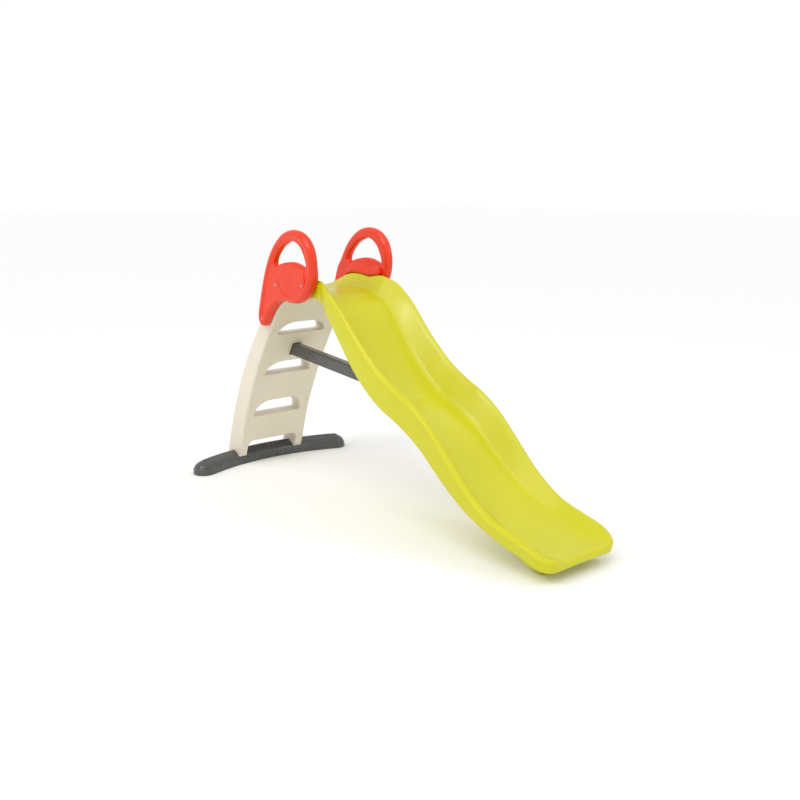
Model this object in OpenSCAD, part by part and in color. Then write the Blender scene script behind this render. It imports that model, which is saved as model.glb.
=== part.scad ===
// Free-standing children's slide: double-wave chute, ladder panel, two loop
// handles, a strut and a curved base bar, held together with screws.
// Millimetres. +X is the sliding direction (ladder to exit), +Y is across,
// +Z is up. The origin is on the ground at the centre of the footprint.

/* [Overall] */
// Overall length, from the back of the base bar to the exit lip
total_l = 2266; // [2250:2:2290]
// Overall width, which is the span of the base bar
total_w = 950; // [900:10:1000]

/* [Chute] */
// Half width of the chute at the crest of its side walls
crest_y = 210; // [204:1:214]
// How far the rolled rim stands outside the crest
rim_out = 12; // [8:1:14]
// Half width at the crest between the handles
seat_crest_y = 186; // [180:1:187]
// Plan radius of the corners of the exit lip
lip_r = 92; // [70:2:110]
// Height of the seat between the handles
seat_z = 962; // [955:1:968]

/* [Ladder] */
// Width of the ladder panel
ladder_w = 399; // [390:1:399]
// Half width of the lowest step opening
open_y1 = 146; // [140:1:150]
// Half width of the two upper step openings
open_y2 = 138; // [134:1:144]
// Height of the top face of the first tread
tread_1 = 266; // [258:1:272]
// Height of the top face of the second tread
tread_2 = 502; // [496:1:508]
// Height of the top face of the third tread
tread_3 = 726; // [720:1:730]
// Clear height of the lowest opening
open_h1 = 82; // [70:1:88]
// Clear height of the middle opening
open_h2 = 67; // [60:1:72]
// Clear height of the top opening
open_h3 = 59; // [50:1:60]
// Height of the arch between the feet
arch_z = 124; // [118:1:134]

/* [Handles] */
// Inner face of the handles, measured from the middle plane
handle_y = 200; // [200:0.5:202]
// Thickness of the handle loop
handle_t = 46; // [42:1:50]
// How far the round pad stands proud of the plate
pad_out = 5; // [3:1:6]

/* [Base bar] */
// Width of the base bar
base_w = 115; // [110:1:120]
// Height of the base bar at its middle line
base_h = 72; // [70:1:76]
// Plan radius of the front edge of the base bar
base_r = 1035; // [1000:1:1080]

/* [Strut] */
// Width of the strut
strut_w = 48; // [44:1:50]
// Height of the strut
strut_h = 62; // [56:1:64]

/* [Fasteners] */
// Shank diameter of the handle screws
handle_screw_d = 6; // [5:0.5:6.5]
// Shank diameter of the base and strut screws
base_screw_d = 8; // [7:0.5:8.5]
// Radial clearance of a screw in its hole
screw_gap = 0.15; // [0.1:0.05:0.3]

/* [Hidden] */

lime = [0.80, 0.80, 0.12];
ivory = [0.86, 0.83, 0.75];
orange_red = [0.93, 0.27, 0.16];
slate = [0.30, 0.31, 0.31];
zinc = [0.72, 0.73, 0.74];
brass = [0.78, 0.64, 0.34];

x_mid = total_l / 2;
lip_x = total_l;

// ---------------------------------------------------------------- curves
// A cubic curve through hand-set points [x, z], slopes from the neighbours.
function seg_i(P, x, i = 0) =
    i >= len(P) - 2 ? len(P) - 2 : x <= P[i + 1][0] ? i : seg_i(P, x, i + 1);
function slope(P, i) =
    i <= 0 ? (P[1][1] - P[0][1]) / (P[1][0] - P[0][0])
    : i >= len(P) - 1
      ? (P[i][1] - P[i - 1][1]) / (P[i][0] - P[i - 1][0])
      : (P[i + 1][1] - P[i - 1][1]) / (P[i + 1][0] - P[i - 1][0]);
function curve(P, x) =
    let (i = seg_i(P, x), h = P[i + 1][0] - P[i][0],
         t = (x - P[i][0]) / h,
         m0 = slope(P, i) * h, m1 = slope(P, i + 1) * h,
         a = P[i][1], b = P[i + 1][1])
    (2 * t * t * t - 3 * t * t + 1) * a + (t * t * t - 2 * t * t + t) * m0
    + (3 * t * t - 2 * t * t * t) * b + (t * t * t - t * t) * m1;

// Crest of the side walls
rim_pts = [[462, seat_z + 4], [526, 998], [578, 1018], [622, 1025], [680, 1024],
           [742, 1017], [790, 1024], [838, 1027], [880, 1016], [946, 980],
           [1019, 927], [1099, 846], [1163, 782], [1240, 716], [1301, 669],
           [1408, 611], [1508, 565], [1611, 493], [1710, 398], [1831, 282],
           [1958, 197], [2078, 160], [2151, 141], [2205, 120], [2240, 104],
           [lip_x - 8, 90], [lip_x, 76]];
// Sliding surface along the middle
bed_pts = [[462, seat_z], [640, seat_z], [740, seat_z], [817, 955],
           [870, 934], [926, 896], [1010, 802], [1094, 703], [1157, 640],
           [1230, 579], [1304, 533], [1370, 505], [1438, 474], [1505, 438],
           [1567, 396], [1692, 293], [1812, 210], [1928, 155], [2038, 118],
           [2128, 99], [2190, 89], [2232, 86], [lip_x - 8, 84], [lip_x, 72]];
// Lower edge of the outer walls and the underside
low_pts = [[462, 930], [640, 926], [740, 930], [810, 938], [860, 914],
           [926, 868], [1010, 772], [1094, 671], [1157, 609], [1230, 551],
           [1304, 506], [1370, 479], [1438, 448], [1505, 412], [1567, 371],
           [1692, 269], [1812, 187], [1928, 133], [2038, 97], [2128, 76],
           [2190, 58], [2232, 47], [lip_x - 8, 50], [lip_x, 58]];

// Half width at the crest: narrow between the handles, full width after them,
// rounded corners in plan at the lip
function flare(x) =
    x <= 868 ? 0 : x >= 896 ? 1 : let (t = (x - 868) / 28) t * t * (3 - 2 * t);
function lip_in(x) =
    x <= lip_x - lip_r ? 0
    : let (d = min(x - (lip_x - lip_r), lip_r)) lip_r - sqrt(lip_r * lip_r - d * d);
function crest(x) =
    seat_crest_y + (crest_y - seat_crest_y) * flare(x) - 0.72 * lip_in(x);

// Shape of the inner wall: fraction of the half width, fraction of the depth
WALL = [[0, 0], [0.34, 0], [0.56, 0.01], [0.65, 0.03], [0.71, 0.10],
        [0.78, 0.32], [0.86, 0.60], [0.93, 0.84], [0.98, 0.975], [1, 1]];

function half_section(x) =
    let (c = crest(x), zr = curve(rim_pts, x), zb = min(curve(bed_pts, x), zr - 1),
         zl = curve(low_pts, x), h = zr - zl, q = min(1, h / 110))
    concat([for (w = WALL) [c * w[0], zb + (zr - zb) * w[1] + 3 * q * w[0] * (1 - w[0])]],
           [[c + rim_out * 0.4, zr - 2.5 * q], [c + rim_out * 0.8, zr - 13 * q],
            [c + rim_out + 1, zr - 31 * q], [c + rim_out - 1, zr - 38 * q],
            [c + rim_out - 3, zl + 0.42 * h], [c + 5, zl + min(12, 0.18 * h)],
            [c - 3, zl + min(3, 0.05 * h)], [c - 30, zl], [c * 0.4, zl + 2]]);
// Full closed ring, anticlockwise seen from +X
function ring(x) =
    let (H = half_section(x), n = len(H))
    concat([for (i = [0 : n - 1]) [x, H[i][0], H[i][1]]],
           [[x, 0, H[n - 1][1] + 1]],
           [for (i = [n - 1 : -1 : 1]) [x, -H[i][0], H[i][1]]]);

// A closed skin through rings that are symmetric about y = 0: point i of a
// ring mirrors point n - i. The ends are closed by a strip in each half.
module skin(rings) {
    n = len(rings[0]);
    m = len(rings);
    h = n / 2;
    pts = [for (r = rings) for (p = r) p];
    side = [for (j = [0 : m - 2]) for (i = [0 : n - 1]) for (k = [0, 1])
            let (a = j * n + i, b = j * n + (i + 1) % n, c = a + n, d = b + n)
            k == 0 ? [b, c, a] : [d, c, b]];
    strip = [for (j = [0 : floor(h / 2) - 1]) for (k = [0, 1])
             k == 0 ? [j, j + 1, h - 1 - j] : [j, h - 1 - j, h - j]];
    cap = concat([for (t = strip) [t[2], t[1], t[0]]],
                 [for (t = strip) [for (i = t) (n - i) % n]]);
    faces = concat(side, cap,
                   [for (t = cap) [for (i = [2 : -1 : 0]) (m - 1) * n + t[i]]]);
    polyhedron(points = pts, faces = faces, convexity = 10);
}

chute_x = concat([for (x = [462 : 34 : 836]) x], [856, 868, 875, 882, 889, 896],
                 [for (x = [930 : 41 : 2160]) x],
                 [2190, 2208, 2224, 2238, 2250, lip_x - 8, lip_x - 3, lip_x]);

// ---------------------------------------------------------------- screws
// A pan-head screw along +Z: head from z = 0 up, shank below
module screw(d, l, head_d, head_h) {
    difference() {
        cylinder(h = head_h, d = head_d, $fn = 48);
        translate([0, 0, head_h - 1.6]) cube([head_d * 0.56, 1.4, 4], center = true);
        translate([0, 0, head_h - 1.6]) cube([1.4, head_d * 0.56, 4], center = true);
    }
    translate([0, 0, -l + d * 0.6]) cylinder(h = l - d * 0.6, d = d, $fn = 48);
    translate([0, 0, -l]) cylinder(h = d * 0.6, d1 = d * 0.45, d2 = d, $fn = 48);
}
// A hexagon-head bolt along +Z with a plain end
module bolt(d, l, af, head_h) {
    cylinder(h = head_h, d = af / cos(30), $fn = 6);
    translate([0, 0, -l]) cylinder(h = l, d = d, $fn = 48);
}
module ring_washer(d, od, h) {
    difference() {
        cylinder(h = h, d = od, $fn = 48);
        translate([0, 0, -1]) cylinder(h = h + 2, d = d + 2 * screw_gap, $fn = 48);
    }
}
// Points +Z of the child along outward +Y (side = 1) or -Y (side = -1)
module outward(side, x, y, z) {
    translate([x, side * y, z]) rotate([-90 * side, 0, 0]) children();
}

// Handle screws: [x, z] in the handle plane
pad_screws = [[566, 990], [778, 999]];
leg_screw = [445, 816];
pad_seat_y = handle_y + handle_t - 7;
pad_screw_l = 60;
leg_screw_l = 58;

// ---------------------------------------------------------------- chute
boss_x0 = 1128;
boss_x1 = 1206;
module heel() {
    hull() {
        translate([2080, -188, 84]) cube([10, 376, 10]);
        translate([2188, -188, 62]) cube([10, 376, 10]);
        translate([2138, 0, 0]) for (sx = [-1, 1]) for (sy = [-1, 1])
            translate([sx * 28, sy * 110, 0]) cylinder(h = 10, r1 = 15, r2 = 19, $fn = 32);
    }
}
module chute() {
    color(lime) difference() {
        union() {
            skin([for (x = chute_x) ring(x)]);
            heel();
            // bracket that takes the end of the strut
            translate([0, strut_w / 2 + 12, 0]) rotate([90, 0, 0])
                linear_extrude(strut_w + 24)
                    polygon([[boss_x0, strut_bot(boss_x0) - 12],
                             [boss_x1, strut_bot(boss_x1) - 12],
                             [boss_x1 + 14, strut_bot(boss_x1) + 6],
                             [boss_x1 + 14, curve(bed_pts, boss_x1 + 14) - 14],
                             [boss_x0, curve(bed_pts, boss_x0) - 14]]);
        }
        // socket for the strut
        strut_bar(boss_x0 - 30, strut_end_x, 0.4);
        // cross bolt
        outward(1, cross_x, 60, cross_z)
            translate([0, 0, -120]) cylinder(h = 140, d = base_screw_d + 2 * screw_gap, $fn = 48);
        // pilot holes for the handle screws
        for (s = [-1, 1]) for (p = pad_screws)
            outward(s, p[0], pad_seat_y, p[1])
                translate([0, 0, -pad_screw_l - 2])
                    cylinder(h = pad_screw_l + 6, d = handle_screw_d + 2 * screw_gap, $fn = 48);
        // pockets for the two tongues on top of the ladder
        for (s = [-1, 1]) translate([tongue_x - 0.4, s * 110 - 30.4, 900])
            cube([tongue_l + 0.8, 60.8, tongue_top + 0.4 - 900]);
    }
}

// ---------------------------------------------------------------- ladder
front_pts = [[40, 127], [109, 150], [187, 172], [286, 204], [407, 256],
             [504, 303], [628, 371], [728, 431], [777, 462], [850, 512],
             [925, 566]];
rear_pts = [[40, 8], [141, 38], [222, 64], [289, 88], [354, 114],
            [427, 145], [492, 177], [557, 212], [622, 251], [694, 298],
            [764, 346], [850, 408], [925, 470]];
tongue_x = 508;
tongue_l = 40;
tongue_top = 944;
ladder_top = 923;
zs = [for (z = [40 : 27 : 904]) z];
module ladder_side() {
    polygon(concat([for (z = zs) [curve(front_pts, z), z]],
                   [[curve(front_pts, ladder_top), ladder_top],
                    [curve(rear_pts, ladder_top), ladder_top]],
                   [for (i = [len(zs) - 1 : -1 : 0]) [curve(rear_pts, zs[i]), zs[i]]]));
}
// Opening outline in (y, z): flat tread, top with long elliptic corners
open_a = 95;
module opening(o, h) {
    b = 0.92 * h;
    polygon(concat([[-o, 0], [o, 0]],
                   [for (t = [0 : 6 : 90]) [o - open_a + open_a * cos(t), h - b + b * sin(t)]],
                   [for (t = [90 : 6 : 180]) [-o + open_a + open_a * cos(t), h - b + b * sin(t)]]));
}
module opening_cut(z, o, h) {
    translate([0, 0, z]) rotate([90, 0, 90])
        linear_extrude(1400) opening(o, h);
}
module base_profile(g = 0) {
    b = base_w / 2 + g;
    h = base_h + g;
    polygon([[-b, 0], [b, 0], [b, 8], [b - 1.5, 26], [b - 4, 36], [b - 9, 43],
             [b - 16, 49], [b - 28, 58], [b - 42, 68 * h / 75], [4, h], [-4, h],
             [-b + 42, 68 * h / 75], [-b + 28, 58], [-b + 16, 49], [-b + 9, 43],
             [-b + 4, 36], [-b + 1.5, 26], [-b, 8]]);
}
base_rc = base_r + base_w / 2;
base_cx = base_w + base_r;
base_ang = asin((total_w / 2 - base_w / 2) / base_rc);
// Bar shape, grown by g on every outer face
module base_shape(g = 0) {
    translate([base_cx, 0, 0]) {
        rotate([0, 0, 180 - base_ang]) rotate_extrude(angle = 2 * base_ang, $fn = 360)
            translate([base_rc, 0]) base_profile(g);
        for (s = [-1, 1])
            rotate([0, 0, 180 - s * base_ang]) translate([base_rc, 0, 0])
                rotate_extrude($fn = 72)
                    intersection() {
                        base_profile(g);
                        square([200, 200]);
                    }
    }
}
foot_y = 174;
spigot_l = 60;
spigot_w = 34;
spigot_x = 42;
pocket_z = 30;
foot_hole_x = [spigot_x + 15, spigot_x + 45];
module ladder() {
    color(ivory) difference() {
        union() {
            difference() {
                translate([0, ladder_w / 2, 0]) rotate([90, 0, 0])
                    linear_extrude(ladder_w) ladder_side();
                // arch between the feet
                rotate([90, 0, 90]) linear_extrude(1400) union() {
                    translate([-152, 0]) square([304, arch_z - 34]);
                    translate([-118, 0]) square([236, arch_z]);
                    for (s = [-1, 1]) translate([s * 118, arch_z - 34])
                        circle(r = 34, $fn = 64);
                }
                base_shape(0.3);
            }
            // spigots that plug into the base bar
            for (s = [-1, 1]) translate([spigot_x, s * foot_y - spigot_w / 2, pocket_z])
                cube([spigot_l, spigot_w, 60]);
            // tongues that plug into the chute
            for (s = [-1, 1]) translate([tongue_x, s * 110 - 30, 880])
                cube([tongue_l, 60, tongue_top - 880]);
        }
        opening_cut(tread_1, open_y1, open_h1);
        opening_cut(tread_2, open_y2, open_h2);
        opening_cut(tread_3, open_y2, open_h3);
        // socket for the strut, open at the front face
        strut_bar(strut_x0, 560, 0.4);
        // screw through the rear face into the end of the strut
        strut_axis() translate([0, 0, -130])
            cylinder(h = 131, d = base_screw_d + 2 * screw_gap, $fn = 48);
        strut_axis() translate([0, 0, -150])
            cylinder(h = 150 - screw_skin, d = 22, $fn = 48);
        // leg screws
        for (s = [-1, 1]) outward(s, leg_screw[0], pad_seat_y, leg_screw[1])
            translate([0, 0, -leg_screw_l - 2])
                cylinder(h = leg_screw_l + 6, d = handle_screw_d + 2 * screw_gap, $fn = 48);
        // seats for the threaded inserts in the feet
        for (s = [-1, 1]) for (x = foot_hole_x)
            translate([x, s * foot_y, pocket_z - 1])
                cylinder(h = insert_l + 15, d = insert_d, $fn = 48);
    }
}

// ---------------------------------------------------------------- handles
outer_pts = [[403, 819], [411, 868], [426, 921], [450, 996], [480, 1071],
             [527, 1150], [580, 1204], [638, 1238], [707, 1250], [778, 1235],
             [830, 1193], [855, 1137], [861, 1080], [850, 1024], [822, 976],
             [788, 942], [742, 918], [688, 910], [628, 914], [575, 903],
             [514, 858], [475, 810], [449, 781], [420, 783]];
hole_pts = [[685, 1196], [620, 1171], [570, 1129], [548, 1091], [563, 1076],
            [605, 1091], [671, 1102], [722, 1100], [768, 1087], [798, 1073],
            [805, 1094], [790, 1134], [762, 1172], [722, 1194]];
// A smooth closed outline through the points, n steps to a side
function loop(P, n = 4) =
    let (m = len(P))
    [for (i = [0 : m - 1]) for (k = [0 : n - 1])
        let (a = P[(i + m - 1) % m], b = P[i], c = P[(i + 1) % m],
             d = P[(i + 2) % m], t = k / n)
        0.5 * (2 * b + (c - a) * t + (2 * a - 5 * b + 4 * c - d) * t * t
               + (3 * b - a - 3 * c + d) * t * t * t)];
outer = loop(outer_pts);
hole = loop(hole_pts, 3);
module handle(side) {
    color(orange_red) difference() {
        union() {
            // loop and plate
            scale([1, side, 1]) translate([0, handle_y + handle_t, 0]) rotate([90, 0, 0])
                difference() {
                    linear_extrude(handle_t) polygon(outer);
                    translate([0, 0, -1]) linear_extrude(handle_t + 2) polygon(hole);
                    // step that leaves the plate thinner than the loop
                    translate([0, 0, -1]) linear_extrude(9) intersection() {
                        offset(delta = -42) polygon(outer);
                        translate([400, 700]) square([600, 372]);
                    }
                }
            // round pad
            intersection() {
                scale([1, side, 1]) translate([696, handle_y, 1022]) rotate([-90, 0, 0])
                    cylinder(h = handle_t - 8 + pad_out, r = 92, $fn = 96);
                scale([1, side, 1]) translate([0, handle_y + handle_t, 0]) rotate([90, 0, 0])
                    difference() {
                        linear_extrude(handle_t) offset(delta = -6) polygon(outer);
                        translate([0, 0, -1]) linear_extrude(handle_t + 2) polygon(hole);
                    }
            }
            // lip that folds over the top of the chute wall
            scale([1, side, 1]) translate([0, handle_y + 0.01, 0]) rotate([90, 0, 0])
                linear_extrude(handle_y - seat_crest_y + 8)
                    polygon(concat([for (x = [560 : 20 : 840]) [x, curve(rim_pts, x) + 1.5]],
                                   [[842, 1048], [806, 1066], [768, 1082], [722, 1096],
                                    [671, 1098], [621, 1088], [592, 1070], [562, 1034]]));
        }
        for (p = pad_screws) outward(side, p[0], pad_seat_y, p[1]) {
            translate([0, 0, 0]) cylinder(h = 30, d = 14, $fn = 48);
            translate([0, 0, -90]) cylinder(h = 100, d = handle_screw_d + 2 * screw_gap, $fn = 48);
        }
        outward(side, leg_screw[0], pad_seat_y, leg_screw[1]) {
            translate([0, 0, 0]) cylinder(h = 30, d = 14, $fn = 48);
            translate([0, 0, -90]) cylinder(h = 100, d = handle_screw_d + 2 * screw_gap, $fn = 48);
        }
    }
}
module handle_left() { handle(1); }
module handle_right() { handle(-1); }

module handle_screws(side) {
    color(zinc) for (p = pad_screws)
        outward(side, p[0], pad_seat_y + 1.5, p[1])
            screw(handle_screw_d, pad_screw_l, 11, 3.6);
}
module handle_washers(side) {
    color(zinc) for (p = pad_screws)
        outward(side, p[0], pad_seat_y, p[1]) ring_washer(handle_screw_d, 13, 1.5);
}
module handle_screws_left() { handle_screws(1); }
module handle_screws_right() { handle_screws(-1); }
module handle_washers_left() { handle_washers(1); }
module handle_washers_right() { handle_washers(-1); }
module leg_screws() {
    color(zinc) for (s = [-1, 1])
        outward(s, leg_screw[0], pad_seat_y + 1.5, leg_screw[1])
            screw(handle_screw_d, leg_screw_l, 11, 3.6);
}
module leg_washers() {
    color(zinc) for (s = [-1, 1])
        outward(s, leg_screw[0], pad_seat_y, leg_screw[1])
            ring_washer(handle_screw_d, 13, 1.5);
}

// ---------------------------------------------------------------- strut
// The strut is straight and falls slightly towards the chute.
strut_x0 = 300;
strut_z0 = 640;
strut_drop = 0.098;
strut_end_x = 1196;
cross_x = 1160;
function strut_mid(x) = strut_z0 - strut_drop * (x - strut_x0);
function strut_bot(x) = strut_mid(x) - strut_h / 2;
cross_z = strut_mid(1160);
strut_a = atan(strut_drop);
screw_skin = 14;
// Bar from x = a to x = b, grown by g
module strut_bar(a, b, g = 0) {
    translate([0, strut_w / 2 + g, 0]) rotate([90, 0, 0]) linear_extrude(strut_w + 2 * g)
        polygon([[a, strut_mid(a) - strut_h / 2 - g], [b, strut_mid(b) - strut_h / 2 - g],
                 [b, strut_mid(b) + strut_h / 2 + g], [a, strut_mid(a) + strut_h / 2 + g]]);
}
// Frame at the ladder end of the strut: +Z runs along the strut
module strut_axis() {
    translate([strut_x0, 0, strut_mid(strut_x0)]) rotate([0, 90 + strut_a, 0]) children();
}
insert_d = 12;
insert_l = 24;
module strut() {
    color(slate) difference() {
        strut_bar(strut_x0 + 1, strut_end_x - 1);
        strut_axis() translate([0, 0, -2]) cylinder(h = insert_l + 22, d = insert_d, $fn = 48);
        outward(1, cross_x, 60, cross_z)
            translate([0, 0, -120]) cylinder(h = 140, d = base_screw_d + 2 * screw_gap, $fn = 48);
    }
}
module threaded_insert() {
    difference() {
        cylinder(h = insert_l, d = insert_d - 0.1, $fn = 48);
        translate([0, 0, -1]) cylinder(h = insert_l + 2, d = base_screw_d + 2 * screw_gap, $fn = 48);
    }
}
module strut_insert() {
    color(brass) strut_axis() translate([0, 0, 2]) threaded_insert();
}
module strut_screw() {
    color(zinc) strut_axis() translate([0, 0, -screw_skin - 2]) rotate([180, 0, 0])
        screw(base_screw_d, 38, 15, 5);
}
module strut_screw_washer() {
    color(zinc) strut_axis() translate([0, 0, -screw_skin - 2]) ring_washer(base_screw_d, 20, 2);
}
cross_half = strut_w / 2 + 12;
module strut_cross_bolt() {
    color(zinc) outward(1, cross_x, cross_half + 2, cross_z)
        bolt(base_screw_d, 2 * cross_half + 16, 13, 5.5);
}
module strut_cross_washers() {
    color(zinc) for (s = [-1, 1]) outward(s, cross_x, cross_half, cross_z)
        ring_washer(base_screw_d, 18, 2);
}
module strut_cross_nut() {
    color(zinc) outward(-1, cross_x, cross_half + 2, cross_z) difference() {
        cylinder(h = 7, d = 13 / cos(30), $fn = 6);
        translate([0, 0, -1]) cylinder(h = 9, d = base_screw_d + 2 * screw_gap, $fn = 48);
    }
}

// ---------------------------------------------------------------- base bar
module base_bar() {
    color(slate) difference() {
        base_shape();
        for (s = [-1, 1]) {
            translate([spigot_x - 0.4, s * foot_y - spigot_w / 2 - 0.4, pocket_z])
                cube([spigot_l + 0.8, spigot_w + 0.8, 60]);
            for (x = foot_hole_x) translate([x, s * foot_y, -1]) {
                cylinder(h = 80, d = base_screw_d + 2 * screw_gap, $fn = 48);
                cylinder(h = 13, d = 22, $fn = 48);
            }
        }
    }
}
module foot_screws() {
    color(zinc) for (s = [-1, 1]) for (x = foot_hole_x)
        translate([x, s * foot_y, 10]) rotate([180, 0, 0])
            screw(base_screw_d, 50, 15, 5);
}
module foot_washers() {
    color(zinc) for (s = [-1, 1]) for (x = foot_hole_x)
        translate([x, s * foot_y, 10]) ring_washer(base_screw_d, 20, 2);
}
module foot_inserts() {
    color(brass) for (s = [-1, 1]) for (x = foot_hole_x)
        translate([x, s * foot_y, pocket_z + 1]) threaded_insert();
}

translate([-x_mid, 0, 0]) {
    chute();
    ladder();
    handle_left();
    handle_right();
    strut();
    base_bar();
    handle_screws_left();
    handle_screws_right();
    handle_washers_left();
    handle_washers_right();
    leg_screws();
    leg_washers();
    foot_screws();
    foot_washers();
    foot_inserts();
    strut_screw();
    strut_screw_washer();
    strut_insert();
    strut_cross_bolt();
    strut_cross_washers();
    strut_cross_nut();
}
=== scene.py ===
import math

import bpy
import numpy as np
from mathutils import Matrix, Vector
from mathutils.geometry import delaunay_2d_cdt


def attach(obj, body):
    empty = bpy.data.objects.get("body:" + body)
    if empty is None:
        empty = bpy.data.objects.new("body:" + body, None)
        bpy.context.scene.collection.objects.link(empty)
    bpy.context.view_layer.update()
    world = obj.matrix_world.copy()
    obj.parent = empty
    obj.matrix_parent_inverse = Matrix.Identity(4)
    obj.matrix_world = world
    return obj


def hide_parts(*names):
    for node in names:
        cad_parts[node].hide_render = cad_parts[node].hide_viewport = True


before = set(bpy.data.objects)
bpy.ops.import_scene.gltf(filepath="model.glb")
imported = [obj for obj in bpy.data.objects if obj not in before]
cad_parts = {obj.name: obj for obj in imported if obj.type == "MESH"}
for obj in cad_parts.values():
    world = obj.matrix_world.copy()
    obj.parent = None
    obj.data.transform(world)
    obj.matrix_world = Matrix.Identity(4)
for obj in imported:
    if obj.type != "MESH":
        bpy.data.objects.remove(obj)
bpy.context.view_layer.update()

X_MID = 1133.0                      # design x (mm from the back of the bar) to the row frame


# ------------------------------------------------------------------ helpers
def mesh_object(name, verts_mm, faces, mat, slot, nodes, smooth=True):
    v = np.array(verts_mm, float)
    v[:, 0] -= X_MID
    v /= 1000.0
    me = bpy.data.meshes.new(name)
    me.from_pydata([tuple(p) for p in v], [], [tuple(int(i) for i in f) for f in faces])
    me.validate()
    me.update()
    ob = bpy.data.objects.new(name, me)
    bpy.context.scene.collection.objects.link(ob)
    if smooth:
        me.polygons.foreach_set("use_smooth", [True] * len(me.polygons))
    if mat:
        me.materials.append(mat)
    return ob


def fix_normals(ob):
    import bmesh
    bm = bmesh.new()
    bm.from_mesh(ob.data)
    bmesh.ops.remove_doubles(bm, verts=bm.verts, dist=2e-6)
    bmesh.ops.recalc_face_normals(bm, faces=bm.faces)
    bm.to_mesh(ob.data)
    bm.free()
    ob.data.polygons.foreach_set("use_smooth", [True] * len(ob.data.polygons))
    ob.data.update()


def boolean(ob, other, op):
    """Applies the boolean and deletes the other object."""
    before = len(ob.data.polygons)
    m = ob.modifiers.new("b", "BOOLEAN")
    m.operation = op
    m.solver = "EXACT"
    m.object = other
    dg = bpy.context.evaluated_depsgraph_get()
    new = bpy.data.meshes.new_from_object(ob.evaluated_get(dg))
    ob.modifiers.clear()
    if len(new.polygons) > before * 0.5:
        mats = list(ob.data.materials)
        ob.data = new
        if not len(new.materials):
            for mt in mats:
                new.materials.append(mt)
    bpy.data.objects.remove(other)
    return ob


def sharpen(ob, angle=40):
    """Smooth shading with real edges kept sharp."""
    me = ob.data
    me.polygons.foreach_set("use_smooth", [True] * len(me.polygons))
    me.set_sharp_from_angle(angle=math.radians(angle))


def finish_piece(ob, slot, *nodes):
    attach(ob, "root")
    if nodes:
        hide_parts(*nodes)


class Curve:
    """The same cubic curve through points as the CAD source."""
    def __init__(self, pts):
        p = np.array(pts, float)
        self.x, self.z = p[:, 0], p[:, 1]
        n = len(p)
        s = np.zeros(n)
        s[0] = (self.z[1] - self.z[0]) / (self.x[1] - self.x[0])
        s[-1] = (self.z[-1] - self.z[-2]) / (self.x[-1] - self.x[-2])
        s[1:-1] = (self.z[2:] - self.z[:-2]) / (self.x[2:] - self.x[:-2])
        self.s = s

    def __call__(self, x):
        x = np.asarray(x, float)
        i = np.clip(np.searchsorted(self.x, x) - 1, 0, len(self.x) - 2)
        h = self.x[i + 1] - self.x[i]
        t = (x - self.x[i]) / h
        a, b = self.z[i], self.z[i + 1]
        m0, m1 = self.s[i] * h, self.s[i + 1] * h
        return ((2 * t**3 - 3 * t**2 + 1) * a + (t**3 - 2 * t**2 + t) * m0
                + (3 * t**2 - 2 * t**3) * b + (t**3 - t**2) * m1)


def catmull(points, n, closed=True):
    """A smooth curve through the points, n steps a side."""
    P = np.array(points, float)
    m = len(P)
    out = []
    for i in range(m if closed else m - 1):
        a = P[(i - 1) % m] if closed or i > 0 else P[0]
        b, c = P[i], P[(i + 1) % m]
        d = P[(i + 2) % m] if closed or i + 2 < m else P[-1]
        for k in range(n):
            t = k / n
            out.append(0.5 * (2 * b + (c - a) * t + (2 * a - 5 * b + 4 * c - d) * t * t
                              + (3 * b - a - 3 * c + d) * t**3))
    if not closed:
        out.append(P[-1])
    return np.array(out)


def resample(loop, step):
    L = np.vstack([loop, loop[:1]])
    seg = np.linalg.norm(np.diff(L, axis=0), axis=1)
    s = np.concatenate([[0], np.cumsum(seg)])
    n = max(8, int(round(s[-1] / step)))
    t = np.linspace(0, s[-1], n, endpoint=False)
    return np.column_stack([np.interp(t, s, L[:, k]) for k in (0, 1)])


def smooth_loop(loop, rounds):
    for _ in range(rounds):
        loop = 0.5 * loop + 0.25 * (np.roll(loop, 1, 0) + np.roll(loop, -1, 0))
    return loop


def area(loop):
    x, y = loop[:, 0], loop[:, 1]
    return 0.5 * np.sum(x * np.roll(y, -1) - y * np.roll(x, -1))


def dist_to(points, loop):
    a = loop
    b = np.roll(loop, -1, 0)
    d = b - a
    dd = np.maximum((d**2).sum(1), 1e-12)
    out = np.empty(len(points))
    for s in range(0, len(points), 2000):
        p = points[s:s + 2000]
        w = p[:, None, :] - a[None]
        t = np.clip((w * d[None]).sum(2) / dd[None], 0, 1)
        out[s:s + 2000] = np.sqrt(((w - t[..., None] * d[None])**2).sum(2).min(1))
    return out


def inside(points, loop):
    a = loop
    b = np.roll(loop, -1, 0)
    res = np.zeros(len(points), bool)
    for s in range(0, len(points), 4000):
        p = points[s:s + 4000]
        y = p[:, 1][:, None]
        c = (a[None, :, 1] > y) != (b[None, :, 1] > y)
        den = np.where(b[:, 1] == a[:, 1], 1e-9, b[:, 1] - a[:, 1])
        xi = (b[:, 0] - a[:, 0])[None] * (y - a[None, :, 1]) / den[None] + a[None, :, 0]
        res[s:s + 4000] = (c & (p[:, 0][:, None] < xi)).sum(1) % 2 == 1
    return res


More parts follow.
